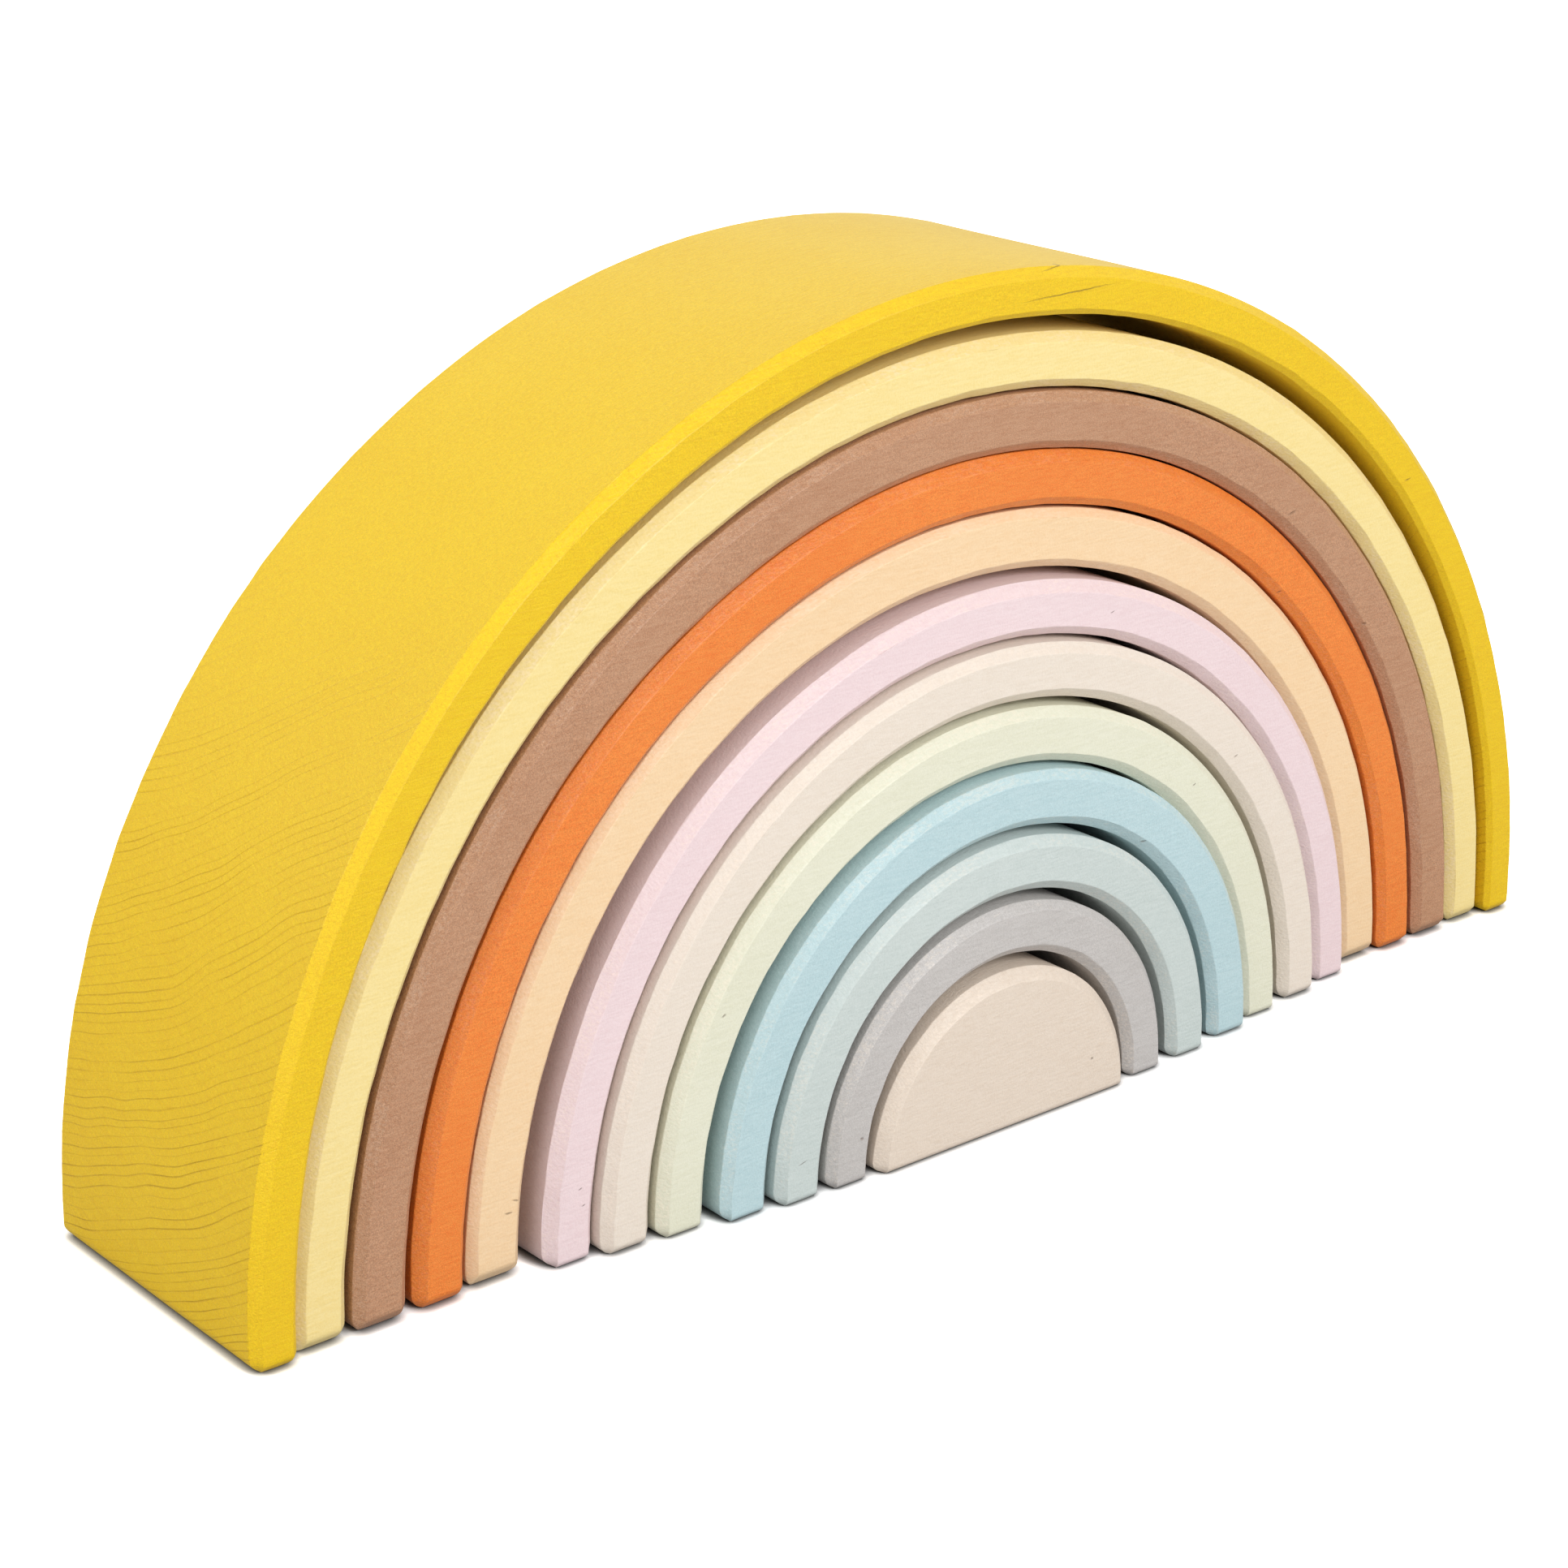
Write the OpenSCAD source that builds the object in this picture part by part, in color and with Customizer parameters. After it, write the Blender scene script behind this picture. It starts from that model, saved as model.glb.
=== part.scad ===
// Rainbow stacker: eleven nested wooden arches around a solid half-round core.
// The pieces are sawn from one block, so the inside of each arch sets the outside of the next.
// Each stands loose on its own soles, leaning a little to one side in the arch around it.
// X runs across the arches, Y from front to back, Z up. The floor is at Z = 0.

/* [Block] */
// Outer radius of the largest arch
outer_radius = 180; // [160:0.5:240]
// Length of every piece from front to back
depth = 74; // [40:1:120]

/* [Arches] */
// Radial thickness of an ordinary arch
wall = 11.8; // [9:0.1:13.5]
// Radial play that sawing and sanding leave between two ordinary pieces
play = 1.5; // [0.8:0.05:3]
// Least distance between the curved faces of two neighbours
seat_clearance = 0.35; // [0.2:0.01:0.44]

/* [Edges] */
// Width of the chamfer along the curved edges
chamfer = 2.1; // [0.5:0.1:4]
// Width of the chamfer around the soles
sole_chamfer = 1.4; // [0.4:0.1:2.4]

/* [Stand] */
// Distance of the foremost and the rearmost piece from the middle of the row
stagger = 6.7; // [0.5:0.1:15]

/* [Hidden] */
NODES = [
    "yellow_arch", "pale_yellow_arch", "brown_arch", "orange_arch", "peach_arch", "pink_arch",
    "beige_arch", "green_arch", "blue_arch", "aqua_arch", "grey_arch", "cream_core"
];

// Facets of a full turn
$fn = 180;

// Length by which a cutter passes the faces that it cuts
overrun = 1;

// The tables run from the outside in, one entry for each piece, and the core comes last.
core = len(NODES) - 1;

// Thickness of each arch, as a share of the ordinary wall
wall_shares = [0.83, 0.98, 1.01, 0.97, 1.06, 0.99, 1, 1.01, 1.02, 1.01, 0.97];

// Play inside each arch, as a share of the ordinary play
play_shares = [0.3, 0.83, 0.9, 0.67, 1.6, 0.7, 1.23, 1.03, 1.4, 1.23, 0.57];

// Lean of each piece, as a share of the way to its seat on the left (-1) or on the right (1)
lean_shares = [0, 0, -0.17, 0.35, 0.15, 0.71, -0.95, -0.6, 0.5, -0.66, -0.6, -0.2];

// Place of each piece towards the back (1) or the front (-1), as a share of the stagger
back_shares = [0.74, 1, 0.86, 0.89, 0.98, 0.55, 0.16, -0.02, -0.43, -0.69, -0.79, -1];

// Height of each arc's centre above the floor, as the sanding of the soles left it, in shares of the play
height_shares = [1.1, -1.08, -0.65, -0.06, 0.06, 0.06, 0.2, 0.5, 0.83, 1.2, 1.07, -0.34];

// Sum of the first entries of a table
function first_sum(table, count) = count == 0 ? 0 : table[count - 1] + first_sum(table, count - 1);

// Outer and inner radius of a piece
function outer(i) = outer_radius - wall * first_sum(wall_shares, i) - play * first_sum(play_shares, i);
function inner(i) = i == core ? 0 : outer(i) - wall * wall_shares[i];

// Free way from the middle to the seat inside the arch around a piece
function free_way(i) = play * play_shares[i - 1] - seat_clearance;

// Place of a piece across, from front to back, and of its arc's centre above the floor
function across(i) = i == 0 ? 0 : across(i - 1) + lean_shares[i] * free_way(i);
function backward(i) = stagger * back_shares[i];
function height(i) = play * height_shares[i];

// Half the width of an arc of radius r where it meets the floor
function floor_reach(r, i) = height(i) < 0 ? sqrt(r * r - height(i) * height(i)) : r;

// Cross-section of a piece: radius along X, depth along Y, with its curved edges chamfered
module section(i) {
    half = depth / 2;
    outside = [
        [outer(i) - chamfer, -half],
        [outer(i), chamfer - half],
        [outer(i), half - chamfer],
        [outer(i) - chamfer, half]
    ];
    inside = i == core
        ? [[0, half], [0, -half]]
        : [
            [inner(i) + chamfer, half],
            [inner(i), half - chamfer],
            [inner(i), chamfer - half],
            [inner(i) + chamfer, -half]
        ];
    polygon(concat(outside, inside));
}

// Half-round body, standing upright on its centre line
module half_round(i) {
    rotate([90, 0, 0]) rotate_extrude(angle = 180) section(i);
}

// Straight stubs that carry the arc's ends down to the floor
module stubs(i) {
    for (side = [0, 1])
        mirror([side, 0, 0])
            translate([0, 0, -height(i)])
                linear_extrude(height(i)) section(i);
}

// What the saw takes off below the floor
module floor_waste(i) {
    side = 2 * (outer(i) + depth);
    translate([0, 0, -side / 2]) cube(side, center = true);
}

// Wedge along Y that breaks a sole's edge, with the wood on its +X side
module edge_wedge(length) {
    leg = sole_chamfer + overrun;
    rotate([90, 0, 0])
        linear_extrude(length + 2 * overrun, center = true)
            polygon([[-overrun, -overrun], [leg, -overrun], [-overrun, leg]]);
}

// All the wedges around the soles of a piece
module sole_wedges(i) {
    reach = floor_reach(outer(i), i);
    for (side = [0, 1]) {
        mirror([side, 0, 0]) {
            translate([-reach, 0, 0]) edge_wedge(depth);
            if (i != core)
                translate([-floor_reach(inner(i), i), 0, 0]) mirror([1, 0, 0]) edge_wedge(depth);
        }
        mirror([0, side, 0])
            translate([0, -depth / 2, 0]) rotate([0, 0, 90]) edge_wedge(2 * reach);
    }
}

// One finished piece in its place
module piece(i) {
    translate([across(i), backward(i), 0])
        difference() {
            translate([0, 0, height(i)]) {
                half_round(i);
                if (height(i) > 0) stubs(i);
            }
            if (height(i) < 0) floor_waste(i);
            sole_wedges(i);
        }
}

module yellow_arch() color("#F2C92E") piece(0);
module pale_yellow_arch() color("#F8E196") piece(1);
module brown_arch() color("#BF9174") piece(2);
module orange_arch() color("#F08647") piece(3);
module peach_arch() color("#F8D6A9") piece(4);
module pink_arch() color("#F1DBDD") piece(5);
module beige_arch() color("#EBE0D2") piece(6);
module green_arch() color("#E5E4CF") piece(7);
module blue_arch() color("#BDD6DB") piece(8);
module aqua_arch() color("#CAD5D1") piece(9);
module grey_arch() color("#C5C2BF") piece(10);
module cream_core() color("#E3D3C3") piece(core);

yellow_arch();
pale_yellow_arch();
brown_arch();
orange_arch();
peach_arch();
pink_arch();
beige_arch();
green_arch();
blue_arch();
aqua_arch();
grey_arch();
cream_core();
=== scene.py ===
# %% [markdown]
# # A rainbow stacker in painted wood
#
# This toy is one block of wood, sawn along half circles into eleven arches and a solid core.
# Every piece is sanded, its edges are broken, and it gets a coat of matte paint.
# The construction model already has the twelve solids at their real size and place, so the lesson
# starts by loading them. All that is made here is fitted to them, in metres.

# %% Load the construction model
import math

import bpy
from mathutils import Matrix, Vector


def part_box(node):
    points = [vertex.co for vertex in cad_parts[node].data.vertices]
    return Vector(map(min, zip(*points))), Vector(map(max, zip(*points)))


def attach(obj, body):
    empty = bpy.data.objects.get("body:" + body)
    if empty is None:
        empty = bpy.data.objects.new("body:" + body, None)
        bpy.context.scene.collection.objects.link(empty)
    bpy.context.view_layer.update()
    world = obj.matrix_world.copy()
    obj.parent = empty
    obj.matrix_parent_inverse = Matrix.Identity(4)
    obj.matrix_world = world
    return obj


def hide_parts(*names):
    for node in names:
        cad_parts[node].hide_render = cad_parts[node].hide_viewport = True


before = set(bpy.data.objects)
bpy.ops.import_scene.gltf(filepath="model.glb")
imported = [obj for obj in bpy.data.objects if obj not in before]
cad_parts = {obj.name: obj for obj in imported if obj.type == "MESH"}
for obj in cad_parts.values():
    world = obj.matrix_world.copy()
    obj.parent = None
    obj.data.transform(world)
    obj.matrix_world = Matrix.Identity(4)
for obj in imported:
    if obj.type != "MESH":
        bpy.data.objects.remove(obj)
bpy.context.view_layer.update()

MM = 0.001

# %% [markdown]
# ## What the solids say
#
# An arch is described by a few numbers: its two radii, where its centre line lies, how deep it is and
# how wide its chamfers are. They could be typed in again, but a copied number goes stale as soon as the
# model changes. So they are read from the corner points of each solid.

# %% Measure the twelve pieces
NODES = [
    "yellow_arch", "pale_yellow_arch", "brown_arch", "orange_arch", "peach_arch", "pink_arch",
    "beige_arch", "green_arch", "blue_arch", "aqua_arch", "grey_arch", "cream_core",
]
CORE = NODES[-1]
ABOVE_SOLE = 10 * MM    # points higher than this lie on the bend, clear of the chamfered soles
FLAT = 0.1 * MM         # points this close to the front belong to the front face


def measure(node):
    """Radii, place, depth and chamfer of one piece, from the points of its solid."""
    low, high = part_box(node)
    across, outer = (low.x + high.x) / 2, (high.x - low.x) / 2
    height = high.z - outer
    points = [v.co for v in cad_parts[node].data.vertices if v.co.z > ABOVE_SOLE]
    radii = [math.hypot(p.x - across, p.z - height) for p in points]
    front_radii = [r for r, p in zip(radii, points) if p.y < low.y + FLAT]
    return {
        "Outer Radius": outer,
        "Inner Radius": 0.0 if node == CORE else min(radii),
        "Centre Height": height,
        "Across": across,
        "Backward": (low.y + high.y) / 2,
        "Depth": high.y - low.y,
        "Chamfer": outer - max(front_radii),
    }


sizes = {node: measure(node) for node in NODES}
for node in NODES:
    print(node, {name: round(value / MM, 2) for name, value in sizes[node].items()})

# %% [markdown]
# ## Reckoning with nodes
#
# The shapes and the paints below are node trees with a good deal of arithmetic in them. In the editor
# that would be some hundred Math nodes, wired by hand. Here a small class stands for an output socket
# and turns a plain formula into nodes: a + b adds an Add node and gives back its output.

# %% Sockets that can be added and multiplied
def plug(tree, value, socket):
    """Link a wire to an input socket, or set the socket to a plain value."""
    if isinstance(value, Wire):
        tree.links.new(value.socket, socket)
    else:
        socket.default_value = value


def add(tree, kind, inputs=None, **settings):
    """Add a node, with its settings and its inputs by name or number."""
    node = tree.nodes.new(kind)
    for name, value in settings.items():
        setattr(node, name, value)
    for name, value in (inputs or {}).items():
        plug(tree, value, node.inputs[name])
    return node


class Wire:
    """An output socket that formulas can use."""

    def __init__(self, node, output=0):
        self.tree = node.id_data
        self.socket = node.outputs[output]

    def math(self, operation, *others):
        inputs = dict(enumerate((self, *others)))
        return Wire(add(self.tree, "ShaderNodeMath", inputs, operation=operation))

    def __add__(self, other):
        return self.math("ADD", other)

    def __sub__(self, other):
        return self.math("SUBTRACT", other)

    def __rsub__(self, other):
        return self.math("MULTIPLY_ADD", -1.0, other)

    def __mul__(self, other):
        return self.math("MULTIPLY", other)

    def __truediv__(self, other):
        return self.math("DIVIDE", other)

    def __pow__(self, other):
        return self.math("POWER", other)

    __radd__ = __add__
    __rmul__ = __mul__

    def at_most(self, other):
        return self.math("MINIMUM", other)

    def at_least(self, other):
        return self.math("MAXIMUM", other)

    def below(self, other):
        return self.math("LESS_THAN", other)


def split(vector):
    """The three parts of a vector."""
    node = add(vector.tree, "ShaderNodeSeparateXYZ", {0: vector})
    return [Wire(node, part) for part in range(3)]


def join(tree, x, y, z):
    """A vector from three parts."""
    return Wire(add(tree, "ShaderNodeCombineXYZ", {"X": x, "Y": y, "Z": z}))


def noise(vector, scale, detail=1.0, seed=0.0, output="Fac"):
    """Cloudy noise from 0 to 1, with features of about 1 / scale metres."""
    inputs = {"Vector": vector, "W": seed, "Scale": scale, "Detail": detail}
    return Wire(add(vector.tree, "ShaderNodeTexNoise", inputs, noise_dimensions="4D"), output)


def ease(value, low, high):
    """A soft step from 0 at low to 1 at high."""
    inputs = {"Value": value, "From Min": low, "From Max": high}
    return Wire(add(value.tree, "ShaderNodeMapRange", inputs, interpolation_type="SMOOTHSTEP"))


def new_tree(kind, name, inputs, outputs):
    """A node group with named sockets; gives the tree, its input wires and its output node."""
    tree = bpy.data.node_groups.new(name, kind)
    for label, (socket, default) in inputs.items():
        item = tree.interface.new_socket(label, in_out="INPUT", socket_type="NodeSocket" + socket)
        if default is not None:
            item.default_value = default
    for label, socket in outputs.items():
        tree.interface.new_socket(label, in_out="OUTPUT", socket_type="NodeSocket" + socket)
    inlet = tree.nodes.new("NodeGroupInput")
    return tree, {label: Wire(inlet, label) for label in inputs}, tree.nodes.new("NodeGroupOutput")


print("node helpers ready")

# %% [markdown]
# ## The rule behind every piece
#
# The twelve pieces differ only in size, so one Geometry Nodes tree makes them all. It starts as a joiner
# would, from a straight moulding: a cross-section with chamfered corners, radius along X and depth along
# Y. A bevel modifier on a bent solid could do this too, but a section drawn point by point keeps every
# chamfer at its true width, and it leaves the core, which has no bore, to the same rule.

# %% Draw the section of the moulding
MEASURES = [
    "Outer Radius", "Inner Radius", "Centre Height", "Across", "Backward", "Depth", "Chamfer",
    "Inner Chamfer", "Soft Edge", "Outer Sole", "Inner Sole", "Front Sole", "Clip", "Saw Wander",
    "Sanding", "Seed",
]
arch_inputs = {name: ("Float", 0.0) for name in MEASURES}
arch_inputs["Rings"] = ("Int", 120)
arch_inputs["Paint"] = ("Material", None)
arch, size, arch_end = new_tree(
    "GeometryNodeTree", "Sawn arch", arch_inputs, {"Geometry": "Geometry"}
)

HOLD = 2.5 * MM     # a line of points this far inside each edge keeps the faces flat beside it
STEP = 8 * MM       # longest stretch of the section without a point
CORNERS = 16        # points of the section before its edges are softened
SOFT_POINTS = 3     # points on each softened edge


def field(kind):
    """A value that differs from point to point, such as the position."""
    return Wire(arch.nodes.new(kind))


def pick(index, values):
    """The entry of a list that an index points to."""
    node = add(arch, "GeometryNodeIndexSwitch", data_type="FLOAT")
    while len(node.index_switch_items) < len(values):
        node.index_switch_items.new()
    for socket, value in zip(node.inputs, [index, *values]):
        plug(arch, value, socket)
    return Wire(node)


outer, inner, chamfer = size["Outer Radius"], size["Inner Radius"], size["Chamfer"]
half = size["Depth"] / 2
bored = inner.math("GREATER_THAN", 0.0)
lip, inner_hold = size["Inner Chamfer"] * bored, bored * HOLD
soft = size["Soft Edge"]
inner_soft = soft * bored

rim, mouth = outer - chamfer, inner + lip
edge, inner_edge = half - chamfer, half - lip
corner = field("GeometryNodeInputIndex")
corner_radius = pick(corner, [
    rim - HOLD, rim, outer, outer, outer, outer, rim, rim - HOLD,
    mouth + inner_hold, mouth, inner, inner, inner, inner, mouth, mouth + inner_hold,
])
corner_depth = pick(corner, [
    0 - half, 0 - half, 0 - edge, HOLD - edge, edge - HOLD, edge, half, half,
    half, half, inner_edge, inner_edge - inner_hold,
    inner_hold - inner_edge, 0 - inner_edge, 0 - half, 0 - half,
])
corner_soft = pick(corner, [
    0.0, soft, soft, 0.0, 0.0, soft, soft, 0.0,
    0.0, inner_soft, inner_soft, 0.0, 0.0, inner_soft, inner_soft, 0.0,
])
ring = add(arch, "GeometryNodeCurvePrimitiveCircle", {"Resolution": CORNERS})
section = add(arch, "GeometryNodeSetPosition", {
    "Geometry": Wire(ring), "Position": join(arch, corner_radius, corner_depth, 0.0),
})
section = add(arch, "GeometryNodeFilletCurve", {
    "Curve": Wire(section), "Count": SOFT_POINTS, "Radius": corner_soft, "Limit Radius": True,
}, mode="POLY")
following = add(arch, "GeometryNodeOffsetPointInCurve", {
    "Point Index": field("GeometryNodeInputIndex"), "Offset": 1,
})
own_depth = split(field("GeometryNodeInputPosition"))[1]
next_depth = Wire(add(arch, "GeometryNodeFieldAtIndex", {
    "Value": own_depth, "Index": Wire(following, "Point Index"),
}))
cuts = ((next_depth - own_depth).math("ABSOLUTE") / STEP).math("FLOOR")
section = add(arch, "GeometryNodeSubdivideCurve", {"Curve": Wire(section), "Cuts": cuts})
print("section drawn with", len(arch.nodes), "nodes")

# %% [markdown]
# ## Bending the moulding
#
# The section is swept along a straight line and the sweep is then bent: the place along the line turns
# into an angle, and each point goes to its radius at that angle. The first and last few rings don't
# turn. They lie level, one above the other, and form the feet. On the toy every foot was rounded by hand
# on a sanding belt, some into a round corner and some into a flat clip, so each ring near the floor is
# drawn in by the amount that such a corner takes away at its level.

# %% Sweep the section and bend it
FOOT_RINGS = 9
FOOT_HEIGHT = 3.8 * MM
FOOT_CROWDING = 1.6     # above 1, the rings of a foot crowd towards the floor
ABOVE_FOOT = 1.2 * MM
FRONT_CLIP = 0.8        # the front and back corners of the soles are clipped nearly flat

rings = size["Rings"]
line = add(arch, "GeometryNodeCurvePrimitiveLine", {"End": (0.0, 0.0, 1.0)})
line = add(arch, "GeometryNodeResampleCurve", {"Curve": Wire(line), "Count": rings}, mode="COUNT")
sweep = add(arch, "GeometryNodeCurveToMesh", {
    "Curve": Wire(line), "Profile Curve": Wire(section), "Fill Caps": True,
})
radius, depth, along = split(field("GeometryNodeInputPosition"))
number = (along * (rings - 1)).math("ROUND")
from_end = number.at_most(rings - 1 - number)
side = 1 - along.math("GREATER_THAN", 0.5) * 2
level = (from_end / (FOOT_RINGS - 1)) ** FOOT_CROWDING * FOOT_HEIGHT


def drawn_in(corner_size, clip):
    """How far a rounded or clipped corner draws the section in at this level."""
    near = (1 - level / corner_size).at_least(0.0)
    rounded = corner_size * (1 - (1 - near * near).math("SQRT"))
    clipped = corner_size * near
    return rounded + (clipped - rounded) * clip


front_limit = half - drawn_in(size["Front Sole"], FRONT_CLIP)
foot_depth = depth.at_most(front_limit).at_least(0 - front_limit)
foot_radius = radius.at_most(outer - drawn_in(size["Outer Sole"], size["Clip"]))
foot_radius = foot_radius.at_least(inner + drawn_in(size["Inner Sole"], size["Clip"]) * bored)
rise = (level - size["Centre Height"]).at_least(0.0)
reach = (foot_radius * foot_radius - rise * rise).at_least(0.0).math("SQRT")
foot = join(arch, size["Across"] + side * reach, size["Backward"] + foot_depth, level)

lowest = inner + (1 - bored) * (rim - HOLD)
start = ((FOOT_HEIGHT + ABOVE_FOOT - size["Centre Height"]) / lowest).math("ARCSINE")
share = (number - FOOT_RINGS) / (rings - (1 + 2 * FOOT_RINGS))
angle = start + share * (math.pi - start * 2)
turned = join(
    arch,
    size["Across"] + radius * angle.math("COSINE"),
    size["Backward"] + depth,
    (size["Centre Height"] + radius * angle.math("SINE")).at_least(FOOT_HEIGHT),
)
bent_place = Wire(add(arch, "GeometryNodeSwitch", {
    "Switch": from_end.below(FOOT_RINGS), "False": turned, "True": foot,
}, input_type="VECTOR"))
print("bend ready with", len(arch.nodes), "nodes")

# %% [markdown]
# ## Hand and saw
#
# No edge of the toy is a perfect circle. The saw strayed a little, and the same cut made the inside of
# one arch and the outside of the next, so one slow noise in space moves both alike and the gap between
# them stays open. Sanding by hand made the chamfers waver, each in its own way. A named attribute marks
# the edges, first for that and later for the paint, which is thinnest there. Another one marks the bore
# of each arch, which the sander hardly reached.

# %% Mark the edges, then let saw and sanding stray
NEAR = 0.05 * MM
SOLE_EDGE = 3 * MM          # height over which the mark of a sole fades
SEAM = 0.002 * MM           # points closer than this become one
FREE_HEIGHT = 15 * MM       # below this, saw and sanding lift a point less and less
SAW_SCALE, SANDING_SCALE = 14.0, 130.0

on_outer_edge = radius.math("GREATER_THAN", rim - NEAR)
on_inner_edge = radius.below(mouth + NEAR) * bored
in_chamfer = depth.math("ABSOLUTE").math("GREATER_THAN", edge.at_most(inner_edge) - NEAR)
on_sole = (1 - level / SOLE_EDGE).at_least(0.0)
arris = ((on_outer_edge + on_inner_edge) * in_chamfer).at_least(on_sole).at_most(1.0)
marked = add(arch, "GeometryNodeStoreNamedAttribute", {
    "Geometry": Wire(sweep), "Name": "arris", "Value": arris,
}, data_type="FLOAT", domain="POINT")
marked = add(arch, "GeometryNodeStoreNamedAttribute", {
    "Geometry": Wire(marked), "Name": "bore", "Value": radius.below(inner + NEAR) * bored,
}, data_type="FLOAT", domain="POINT")
bent = add(arch, "GeometryNodeSetPosition", {"Geometry": Wire(marked), "Position": bent_place})
closed = add(arch, "GeometryNodeMergeByDistance", {"Geometry": Wire(bent), "Distance": SEAM})


def stray(geometry, scale, seed, amount):
    """Move points by noise, without lifting the soles off the floor."""
    place = field("GeometryNodeInputPosition")
    x, y, z = split(noise(place, scale, 1.0, seed, "Color"))
    grounded = (split(place)[2] / FREE_HEIGHT).at_most(1.0)
    offset = join(arch, (x - 0.5) * amount, (y - 0.5) * amount, (z - 0.5) * amount * grounded)
    return add(arch, "GeometryNodeSetPosition", {"Geometry": geometry, "Offset": offset})


edge_mark = Wire(add(arch, "GeometryNodeInputNamedAttribute", {"Name": "arris"}, data_type="FLOAT"))
sawn = stray(Wire(closed), SAW_SCALE, 0.0, size["Saw Wander"])
sanded = stray(Wire(sawn), SANDING_SCALE, size["Seed"], size["Sanding"] * edge_mark)
smooth = add(arch, "GeometryNodeSetShadeSmooth", {"Geometry": Wire(sanded)})
realized = add(arch, "GeometryNodeRealizeInstances", {"Geometry": Wire(smooth)})
painted = add(arch, "GeometryNodeSetMaterial", {
    "Geometry": Wire(realized), "Material": size["Paint"],
})
plug(arch, Wire(painted), arch_end.inputs["Geometry"])
print("arch tree finished with", len(arch.nodes), "nodes")

# %% [markdown]
# ## The timber under the paint
#
# The paint is thin, so the wood shows through. The grain runs across the toy, along X. A face that looks
# to the left or right is end grain with the growth rings on it, and a front face shows only fine level
# fibres. A flat texture would have to be steered to do that on each face. A solid one does it by itself:
# the rings are cylinders around a pith that lies high behind the block, and each face cuts them as a saw
# would.

# %% Build the timber group
PITH_Y, PITH_Z = 150 * MM, 360 * MM
ALONG_RINGS, ALONG_FIBRES = 0.3, 0.13       # along the grain the wood changes this much more slowly
SWING_SCALE, RING_SCALE, GAP_SCALE, FIBRE_SCALE = 22.0, 170.0, 70.0, 1900.0
UNEVEN_YEARS = 1.4                          # how far rings stray from even spacing, in rings
LATE_START, LATE_END = (0.82, 0.965), (0.97, 1.0)
FAINTEST_RING, FAINTEST_STRETCH = 0.3, 0.35
CLEAR_STRETCH = (0.3, 0.6)
END_FACE = (0.6, 1.0)

timber, grain, timber_end = new_tree(
    "ShaderNodeTree", "Solid timber",
    {"Ring Width": ("Float", 1.9 * MM), "Waviness": ("Float", 12 * MM), "Seed": ("Float", 0.0)},
    {"Ring": "Float", "Fibre": "Float", "End Grain": "Float"},
)
coords = timber.nodes.new("ShaderNodeTexCoord")
x, y, z = split(Wire(coords, "Object"))
swing = split(noise(join(timber, x * ALONG_RINGS, y, z), SWING_SCALE, 2.0, grain["Seed"], "Color"))
from_pith_y = y + (swing[1] - 0.5) * grain["Waviness"] - PITH_Y
from_pith_z = z + (swing[2] - 0.5) * grain["Waviness"] - PITH_Z
pith_distance = (from_pith_y * from_pith_y + from_pith_z * from_pith_z).math("SQRT")
uneven = noise(join(timber, pith_distance, 0.0, 0.0), RING_SCALE, 1.0, grain["Seed"])
year = pith_distance / grain["Ring Width"] + uneven * UNEVEN_YEARS
season = year.math("FRACT")
bold = Wire(add(timber, "ShaderNodeTexWhiteNoise", {"W": year.math("FLOOR")}, noise_dimensions="1D"))
late_wood = ease(season, *LATE_START) * (1 - ease(season, *LATE_END))
strength = FAINTEST_RING + bold * (1 - FAINTEST_RING)
clear = ease(noise(join(timber, x, y, z), GAP_SCALE, 2.0, grain["Seed"]), *CLEAR_STRETCH)
broken = FAINTEST_STRETCH + clear * (1 - FAINTEST_STRETCH)
plug(timber, late_wood * strength * broken, timber_end.inputs["Ring"])
fibre = noise(join(timber, x * ALONG_FIBRES, y, z), FIBRE_SCALE, 2.0, grain["Seed"])
plug(timber, fibre, timber_end.inputs["Fibre"])
across_grain = split(Wire(coords, "Normal"))[0].math("ABSOLUTE")
plug(timber, ease(across_grain, *END_FACE), timber_end.inputs["End Grain"])
print("timber group:", [item.name for item in timber.interface.items_tree])

# %% [markdown]
# ## Worn edges
#
# Handling and stacking rub the paint off the chamfers first, in blotches with fine strokes along the
# grain. The mask starts from the edge mark that the arch tree left on the mesh, so it follows every
# chamfer and sole without any painting by hand.

# %% Build the edge wear group
BLOTCH_SCALE, STROKE_SCALE = 60.0, 1900.0
ALONG_STROKES = 0.4         # strokes are longer along the grain
STROKES_IN_BLOTCH = 1.6     # how much the strokes fray a blotch
RUBBED_THROUGH = (0.45, 0.85)
EDGE_FALL = 3.0             # how fast the wear fades beside an edge

wear, rub, wear_end = new_tree(
    "ShaderNodeTree", "Edge wear",
    {"Amount": ("Float", 0.5), "Seed": ("Float", 0.0)}, {"Worn": "Float", "Torn": "Float"},
)
mark = Wire(add(wear, "ShaderNodeAttribute", attribute_name="arris"), "Fac")
coords = Wire(wear.nodes.new("ShaderNodeTexCoord"), "Object")
x, y, z = split(coords)
blotch = noise(coords, BLOTCH_SCALE, 2.0, rub["Seed"])
stroke = noise(join(wear, x * ALONG_STROKES, y, z), STROKE_SCALE, 2.0, rub["Seed"])
rubbed_edge = mark ** EDGE_FALL
bare = rubbed_edge * ease(blotch + (stroke - 0.5) * STROKES_IN_BLOTCH, *RUBBED_THROUGH)
plug(wear, bare * rub["Amount"], wear_end.inputs["Worn"])
plug(wear, rubbed_edge * (stroke - 0.5), wear_end.inputs["Torn"])
print("edge wear group ready")

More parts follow.
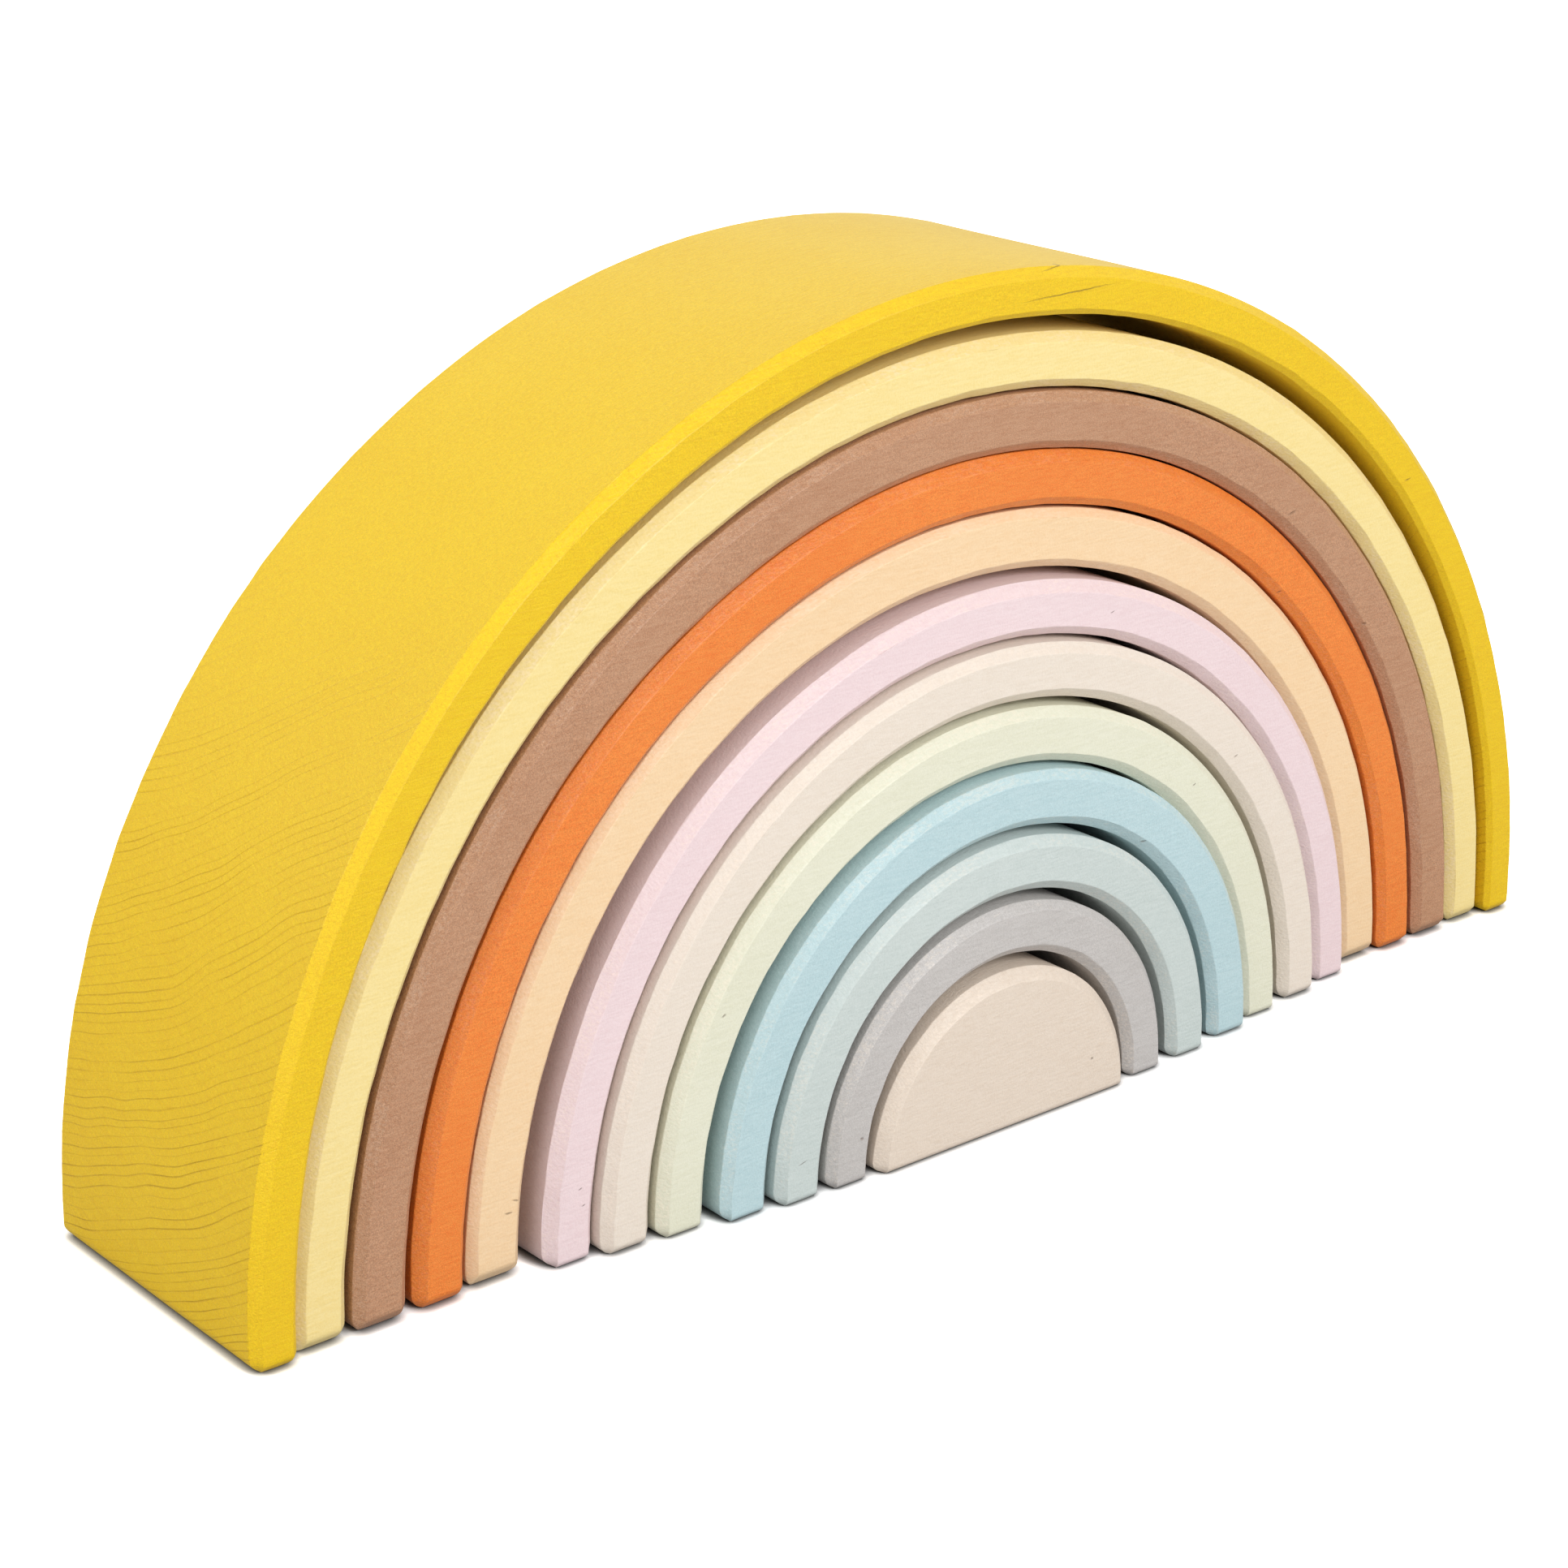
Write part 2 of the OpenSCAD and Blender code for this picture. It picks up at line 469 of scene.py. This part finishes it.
# %% [markdown]
# ## The coat of paint
#
# Matte paint soaks into end grain and dries deeper there, thins out over the late wood of each ring, and
# clouds a little where the brush passed twice. Inside the bores it dries rough on the sawn wood, and a
# fine grit of pigment lies over all of it, most of all on the darker colours. One group turns these masks
# into a colour, a roughness and a height, each by a table of shares, and every paint on the toy uses it
# with its own tints.

# %% Build the paint group
CLOUD_SCALE, SCRATCH_SCALE, GRIT_SCALE = 30.0, 2300.0, 4600.0
TILT_Y, TILT_Z = 0.9, 0.44      # way of the sanding scratches, in parts of Y and Z
ALONG_SCRATCH = 0.12            # along a scratch the coat changes this much more slowly
RING_ON_FRONT = 0.12            # how much of a ring shows where there is no end grain

# Share of each mask in the depth of the paint, in its roughness, and in its relief in mm
BASE_DEPTH, BASE_ROUGHNESS = 0.25, 0.5
DEPTH = {"end grain": 0.15, "ring": 0.55, "cloud": 0.5, "strand": 1.2, "speck": 1.1, "torn": 0.6}
ROUGHNESS = {"cloud": 0.1, "strand": 0.12, "worn": -0.05, "bore": 0.45}
RELIEF = {"strand": 0.08, "speck": 0.05, "cloud": 0.08, "ring": -0.15, "torn": 0.05, "grit": 0.02}

coat, brush, coat_end = new_tree(
    "ShaderNodeTree", "Matte paint coat",
    {
        "Paint": ("Color", None), "Deep Paint": ("Color", None), "Bare Wood": ("Color", None),
        "Ring": ("Float", 0.0), "Fibre": ("Float", 0.5), "End Grain": ("Float", 0.0),
        "Worn": ("Float", 0.0), "Torn": ("Float", 0.0), "Ring Show": ("Float", 1.0),
        "Grit": ("Float", 0.0), "Seed": ("Float", 0.0),
    },
    {"Color": "Color", "Roughness": "Float", "Height": "Float"},
)


def blend(tree, share, first, second):
    """A colour between two colours. A Mix node has them in its inputs 6 and 7 and its output 2."""
    return Wire(add(tree, "ShaderNodeMix", {0: share, 6: first, 7: second}, data_type="RGBA"), 2)


coords = Wire(coat.nodes.new("ShaderNodeTexCoord"), "Object")
x, y, z = split(coords)
scratch_way, scratch_side = y * TILT_Y + z * TILT_Z, z * TILT_Y - y * TILT_Z
scratched = join(coat, x, scratch_way * ALONG_SCRATCH, scratch_side)
masks = {
    "cloud": noise(coords, CLOUD_SCALE, 3.0, brush["Seed"]) - 0.5,
    "speck": noise(scratched, SCRATCH_SCALE, 1.0, brush["Seed"]) - 0.5,
    "strand": brush["Fibre"] - 0.5,
    "grit": (noise(coords, GRIT_SCALE, 0.0, brush["Seed"]) - 0.5) * brush["Grit"],
    "ring": brush["Ring"] * brush["Ring Show"] * (RING_ON_FRONT + brush["End Grain"] * (1 - RING_ON_FRONT)),
    "end grain": brush["End Grain"], "worn": brush["Worn"], "torn": brush["Torn"],
    "bore": Wire(add(coat, "ShaderNodeAttribute", attribute_name="bore"), "Fac"),
}


def weigh(base, shares):
    """A base value plus every mask in a table times its share."""
    for name, share in shares.items():
        base = base + masks[name] * share
    return base


depth_of_paint = weigh(BASE_DEPTH, DEPTH).at_least(0.0).at_most(1.0)
tint = blend(coat, depth_of_paint, brush["Paint"], brush["Deep Paint"])
tint = blend(coat, brush["Worn"], tint, brush["Bare Wood"])
gritty = add(coat, "ShaderNodeVectorMath", {0: tint, "Scale": 1 + masks["grit"]}, operation="SCALE")
plug(coat, Wire(gritty), coat_end.inputs["Color"])
plug(coat, weigh(BASE_ROUGHNESS, ROUGHNESS), coat_end.inputs["Roughness"])
plug(coat, weigh(0.0, RELIEF), coat_end.inputs["Height"])
print("paint group ready")

# %% [markdown]
# ## Nicks and drying checks
#
# A used toy has small knocks, and the largest arch has a fine drying check near its crown, where the
# wood split along the grain under the paint. Each is a short dark stroke on a front face. One group draws
# such a stroke from its place, length, width and slope, with a ragged edge.

# %% Build the nick group
RAGGED_SCALE, RAGGED_REACH = 300.0, 4.0     # a stroke wavers over some of its widths
STROKE_EDGE, STROKE_END = (0.35, 1.0), (0.05, 0.5)
NICK_REACH = 4 * MM                         # a nick stays this close to the front face

nick, knock, nick_end = new_tree(
    "ShaderNodeTree", "Nick",
    {
        "Place": ("Vector", None), "Length": ("Float", 3 * MM), "Width": ("Float", 0.3 * MM),
        "Slope": ("Float", 0.0),
    },
    {"Mask": "Float"},
)
coords = Wire(nick.nodes.new("ShaderNodeTexCoord"), "Object")
here = [a - b for a, b in zip(split(coords), split(knock["Place"]))]
cosine, sine = knock["Slope"].math("COSINE"), knock["Slope"].math("SINE")
lengthwise = here[0] * cosine + here[2] * sine
crosswise = here[2] * cosine - here[0] * sine
ragged = noise(coords, RAGGED_SCALE, 2.0) - 0.5
crosswise = (crosswise + ragged * knock["Width"] * RAGGED_REACH).math("ABSOLUTE")
stroke = 1 - ease(crosswise / knock["Width"], *STROKE_EDGE)
stroke = stroke * (1 - ease(lengthwise.math("ABSOLUTE") / knock["Length"], *STROKE_END))
stroke = stroke * here[1].math("ABSOLUTE").below(NICK_REACH)
plug(nick, stroke, nick_end.inputs["Mask"])
print("nick group ready")

# %% [markdown]
# ## Twelve paints
#
# Every piece has a paint of its own, from a strong yellow on the outside to soft greys in the middle.
# The shader itself, a Principled BSDF with little gloss, stays in each material. The groups feed it the
# colour, the roughness and, by way of a Bump node, the fine relief. The deep tint is the paint raised to
# a power, which makes it darker and richer at once, as a second coat does.

# %% Mix the paints
def linear(rgb):
    """Colour of a screen value from 0 to 255, as light."""
    parts = [v / 255 for v in rgb]
    parts = [v / 12.92 if v <= 0.04045 else ((v + 0.055) / 1.055) ** 2.4 for v in parts]
    return (*parts, 1.0)


DEEPER = 1.35                               # power that turns a paint into its deep tint
NICK_STRENGTH, NICK_DEPTH = 0.45, 0.2       # how dark a nick is, and how deep in mm
PAINT_SEED = 3.7

# Screen colour of the paint, how much the rings show, how much the edges are worn, how gritty it is
PAINTS = {
    "yellow_arch": ((224, 188, 6), 1.0, 0.0, 0.4),
    "pale_yellow_arch": ((233, 213, 149), 0.2, 0.5, 0.05),
    "brown_arch": ((181, 138, 107), 0.3, 0.2, 0.75),
    "orange_arch": ((226, 131, 54), 0.2, 0.1, 0.6),
    "peach_arch": ((232, 203, 164), 0.2, 0.4, 0.1),
    "pink_arch": ((226, 206, 208), 0.2, 0.4, 0.1),
    "beige_arch": ((224, 213, 200), 0.2, 0.4, 0.1),
    "green_arch": ((219, 218, 198), 0.2, 0.4, 0.12),
    "blue_arch": ((182, 205, 209), 0.2, 0.4, 0.25),
    "aqua_arch": ((195, 204, 201), 0.2, 0.4, 0.15),
    "grey_arch": ((189, 185, 182), 0.2, 0.4, 0.4),
    "cream_core": ((219, 205, 190), 0.2, 0.4, 0.15),
}
BARE_WOOD = linear((246, 230, 212))
NICK_DARK = linear((110, 78, 52))

# Place across and height on the front face, length, width in mm, and slope in degrees
NICKS = {
    "yellow_arch": [(20.5, 175.2, 32, 0.16, 1), (19, 180.6, 14, 0.09, 4), (129.4, 117.5, 2.5, 0.2, 10)],
    "brown_arch": [(91.8, 116.3, 3.5, 0.3, 12), (118.7, 85.2, 1.6, 0.4, 0)],
    "orange_arch": [(90.0, 98.3, 1.2, 0.3, 30)],
    "peach_arch": [(-121.5, 14.4, 2.4, 0.25, -10), (-119.7, 16.6, 2, 0.2, -20)],
    "pink_arch": [
        (-106.4, 15.9, 1.2, 0.15, 20), (-105.7, 12.1, 1.2, 0.15, 25), (34.9, 105.4, 1.6, 0.15, 15),
    ],
    "beige_arch": [(72.6, 65.1, 1.6, 0.2, 20)],
    "green_arch": [(-73.4, 44.7, 1.5, 0.3, 30), (58.4, 62.1, 1.2, 0.2, 20)],
    "blue_arch": [(40.6, 54.0, 1.6, 0.3, 20)],
    "aqua_arch": [(-56.7, 8.8, 3, 0.09, 15)],
    "grey_arch": [(-41.4, 9.8, 1.2, 0.4, 10)],
    "cream_core": [(23.1, 9.3, 1, 0.3, 0)],
}


def place_group(tree, group, inputs):
    """A node that stands for a whole group, with its inputs by name."""
    return add(tree, "ShaderNodeGroup", inputs, node_tree=group)


def mix_paint(node, seed):
    """The material of one piece."""
    screen, ring_show, worn, grit = PAINTS[node]
    material = bpy.data.materials.new(node + "_coat")
    material.use_nodes = True
    tree = material.node_tree
    shader = tree.nodes["Principled BSDF"]
    paint = linear(screen)
    wood = place_group(tree, timber, {"Seed": 0.0})
    rubbed = place_group(tree, wear, {"Amount": worn, "Seed": seed})
    film = place_group(tree, coat, {
        "Paint": paint,
        "Deep Paint": tuple(v ** DEEPER for v in paint),
        "Bare Wood": tuple((a + b) / 2 for a, b in zip(paint, BARE_WOOD)),
        "Ring": Wire(wood, "Ring"), "Fibre": Wire(wood, "Fibre"), "End Grain": Wire(wood, "End Grain"),
        "Worn": Wire(rubbed, "Worn"), "Torn": Wire(rubbed, "Torn"),
        "Ring Show": ring_show, "Grit": grit, "Seed": seed,
    })
    colour, height = Wire(film, "Color"), Wire(film, "Height")
    front = sizes[node]["Backward"] - sizes[node]["Depth"] / 2
    for across, up, length, width, slope in NICKS.get(node, []):
        mask = Wire(place_group(tree, nick, {
            "Place": (across * MM, front, up * MM), "Length": length * MM, "Width": width * MM,
            "Slope": math.radians(slope),
        }))
        colour = blend(tree, mask * NICK_STRENGTH, colour, NICK_DARK)
        height = height - mask * NICK_DEPTH
    bump = add(tree, "ShaderNodeBump", {"Height": height, "Strength": 1.0, "Distance": MM})
    plug(tree, colour, shader.inputs["Base Color"])
    plug(tree, Wire(film, "Roughness"), shader.inputs["Roughness"])
    plug(tree, Wire(bump), shader.inputs["Normal"])
    return material


paints = {node: mix_paint(node, PAINT_SEED * number) for number, node in enumerate(NODES)}
print("paints:", [material.name for material in paints.values()])

# %% [markdown]
# ## Cutting the pieces
#
# Now the tree is run once for each piece, with the measured sizes and with the corners that its feet show.
# The result is turned into a plain mesh, and the modifiers go. A Weighted Normal modifier lets the large
# flat faces set the shading at their edges, so that a broken edge stays crisp.

# %% Run the arch tree for all twelve
# Shares of the chamfer that the sander left outside and inside, corners of the sole outside, inside
# and in front in mm, and how far these corners are clipped flat instead of rounded
EDGES = {
    "yellow_arch": (1.0, 0.6, 3.4, 2.8, 1.9, 0.1), "pale_yellow_arch": (1.0, 0.95, 2.0, 3.2, 2.6, 0.1),
    "brown_arch": (0.95, 0.95, 2.6, 2.8, 3.0, 0.3), "orange_arch": (1.15, 0.85, 3.2, 2.6, 2.4, 0.1),
    "peach_arch": (0.88, 0.9, 2.6, 2.4, 3.3, 0.4), "pink_arch": (1.15, 1.0, 3.4, 3.0, 1.2, 0.1),
    "beige_arch": (1.0, 1.0, 2.4, 3.0, 1.7, 0.2), "green_arch": (1.0, 1.0, 2.4, 2.2, 1.2, 0.6),
    "blue_arch": (0.92, 1.0, 3.4, 2.2, 1.2, 0.1), "aqua_arch": (1.0, 1.0, 2.2, 2.2, 1.1, 0.6),
    "grey_arch": (0.92, 0.95, 2.4, 2.2, 1.0, 0.4), "cream_core": (1.2, 1.0, 2.6, 1.0, 1.0, 0.2),
}
RING_STEP, FEWEST_RINGS = 1.5 * MM, 72
SOFT_EDGE, SAW_WANDER, SANDING = 0.45 * MM, 0.8 * MM, 0.5 * MM
SHAPE_SEED = 1.3
arch_sockets = {item.name: item.identifier for item in arch.interface.items_tree if item.in_out == "INPUT"}


def cut_piece(node, seed):
    """One painted piece as a plain mesh."""
    outer_share, inner_share, outer_sole, inner_sole, front_sole, clip = EDGES[node]
    chamfer_width = sizes[node]["Chamfer"]
    bend_rings = round(math.pi * sizes[node]["Outer Radius"] / RING_STEP)
    values = {
        **sizes[node],
        "Chamfer": chamfer_width * outer_share, "Inner Chamfer": chamfer_width * inner_share,
        "Soft Edge": SOFT_EDGE,
        "Outer Sole": outer_sole * MM, "Inner Sole": inner_sole * MM, "Front Sole": front_sole * MM,
        "Clip": clip, "Saw Wander": SAW_WANDER, "Sanding": SANDING, "Seed": seed,
        "Rings": 2 * FOOT_RINGS + max(FEWEST_RINGS, bend_rings),
        "Paint": paints[node],
    }
    piece = bpy.data.objects.new(node + "_painted", bpy.data.meshes.new(node + "_blank"))
    bpy.context.scene.collection.objects.link(piece)
    modifier = piece.modifiers.new("Sawn arch", "NODES")
    modifier.node_group = arch
    for name, value in values.items():
        modifier[arch_sockets[name]] = value
    flat = piece.modifiers.new("Flat faces", "WEIGHTED_NORMAL")
    flat.mode = "FACE_AREA"
    view = bpy.context.evaluated_depsgraph_get()
    mesh = bpy.data.meshes.new_from_object(piece.evaluated_get(view))
    piece.modifiers.clear()
    piece.data = mesh
    return piece


def volume(mesh):
    """Volume of a closed mesh, which is positive if its faces point outwards."""
    mesh.calc_loop_triangles()
    total = 0.0
    for triangle in mesh.loop_triangles:
        a, b, c = (mesh.vertices[i].co for i in triangle.vertices)
        total += a.dot(b.cross(c)) / 6
    return total


for number, node in enumerate(NODES):
    piece = cut_piece(node, SHAPE_SEED * number)
    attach(piece, node)
    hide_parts(node)
    print(node, len(piece.data.vertices), "points,", round(volume(piece.data) * 1e6, 1), "cm3")

# %% [markdown]
# ## Floor and light
#
# The toy stands on a white table in a plain studio. A large soft lamp in front, a little to the right,
# lights the painted faces, and a second one, high on the left, lights the rounded outside. A weak third
# one, low on the left, reaches the strip of each arch that stands out before its neighbour. The world is
# dim, which leaves the narrow gaps between the arches dark, but for a brighter patch behind on the right
# that gives the crown its sheen. Seen by the camera, the table burns out to white. A fully white table
# would throw too much light up into the gaps, so the light that bounces off it is weaker than what the
# camera sees. A narrow contact shadow is painted into the table's colour where the wood touches it, by an
# ambient occlusion node. The backdrop is white to the camera as well.

# %% Set the floor and the light
FLOOR_REACH = 6.0
BOUNCE, SEEN = 0.42, 2.1                    # how pale the table is to the pieces, and to the camera
PAINTED_SHADOW_REACH, PAINTED_SHADOW_FALL = 2.5 * MM, 1.5       # reach and fall of the contact shadow painted on the table along the soles
DIM, PATCH = 0.44, 0.8                      # light all round, and what the patch behind adds
PATCH_WAY, PATCH_EDGE = (0.62, 0.74, 0.26), (0.4, 0.95)

floor = bpy.data.objects.new("floor", bpy.data.meshes.new("floor"))
corners = [(-1, -1), (1, -1), (1, 1), (-1, 1)]
floor.data.from_pydata([(x * FLOOR_REACH, y * FLOOR_REACH, 0) for x, y in corners], [], [(0, 1, 2, 3)])
bpy.context.scene.collection.objects.link(floor)
white = bpy.data.materials.new("white_table")
white.use_nodes = True
table = white.node_tree.nodes["Principled BSDF"]
seen = add(white.node_tree, "ShaderNodeLightPath")
# The ambient occlusion node paints a contact shadow into the table's colour, for camera rays only, where
# the wood meets it.
painted_contact_shadow = add(white.node_tree, "ShaderNodeAmbientOcclusion", {"Distance": PAINTED_SHADOW_REACH}, samples=16)
shade = BOUNCE + Wire(seen, "Is Camera Ray") * (Wire(painted_contact_shadow, "AO") ** PAINTED_SHADOW_FALL * SEEN - BOUNCE)
plug(white.node_tree, join(white.node_tree, shade, shade, shade), table.inputs["Base Color"])
table.inputs["Roughness"].default_value = 0.9
table.inputs["Specular IOR Level"].default_value = 0.1
floor.data.materials.append(white)

world = bpy.data.worlds.new("studio")
world.use_nodes = True
sky = world.node_tree.nodes["Background"]
sky.inputs["Color"].default_value = (1, 1, 1, 1)
heading = Wire(world.node_tree.nodes.new("ShaderNodeTexCoord"), "Generated")
behind = add(world.node_tree, "ShaderNodeVectorMath", {
    0: heading, 1: PATCH_WAY,
}, operation="DOT_PRODUCT")
glow = DIM + ease(Wire(behind, "Value"), *PATCH_EDGE) * PATCH
backdrop = Wire(world.node_tree.nodes.new("ShaderNodeLightPath"), "Is Camera Ray")
plug(world.node_tree, glow.at_least(backdrop), sky.inputs["Strength"])
bpy.context.scene.world = world

# Place in metres, width in metres and power in watts of each lamp
LAMPS = {
    "front": ((0.18, -1.57, 0.94), 1.2, 26.8),
    "side": ((-1.35, 0.42, 1.05), 1.2, 14.0),
    "low": ((-1.65, -0.6, 0.45), 1.2, 5.2),
}
MIDDLE = Vector((0.0, 0.0, 0.08))
for name, (place, width, power) in LAMPS.items():
    lamp = bpy.data.objects.new(name, bpy.data.lights.new(name, "AREA"))
    lamp.data.shape = "DISK"
    lamp.data.size = width
    lamp.data.energy = power
    lamp.location = place
    lamp.visible_camera = False
    lamp.rotation_euler = (Vector(place) - MIDDLE).to_track_quat("Z", "Y").to_euler()
    bpy.context.scene.collection.objects.link(lamp)
bpy.context.scene.view_settings.view_transform = "Standard"
print("floor", FLOOR_REACH * 2, "m wide, lamps", list(LAMPS))

# %% [markdown]
# ## The camera
#
# The picture was taken from the left front, a little above the toy, with a fairly long lens. Place, angles
# and lens were worked out together from the outlines of the arches, so the picture and the model agree.

# %% Place the camera
TURN, TILT, ROLL = math.radians(-39.8), math.radians(90 - 20.49), math.radians(0.19)
camera = bpy.data.objects.new("camera", bpy.data.cameras.new("camera"))
camera.location = (-458.6 * MM, -517.7 * MM, 323.6 * MM)
turn, tilt, roll = (Matrix.Rotation(a, 3, axis) for a, axis in ((TURN, "Z"), (TILT, "X"), (ROLL, "Z")))
camera.rotation_euler = (turn @ tilt @ roll).to_euler()
camera.data.lens = 78.63
camera.data.sensor_width = 36.0
camera.data.clip_end = 50.0
bpy.context.scene.collection.objects.link(camera)
bpy.context.scene.camera = camera
print("camera at", [round(v, 3) for v in camera.location])
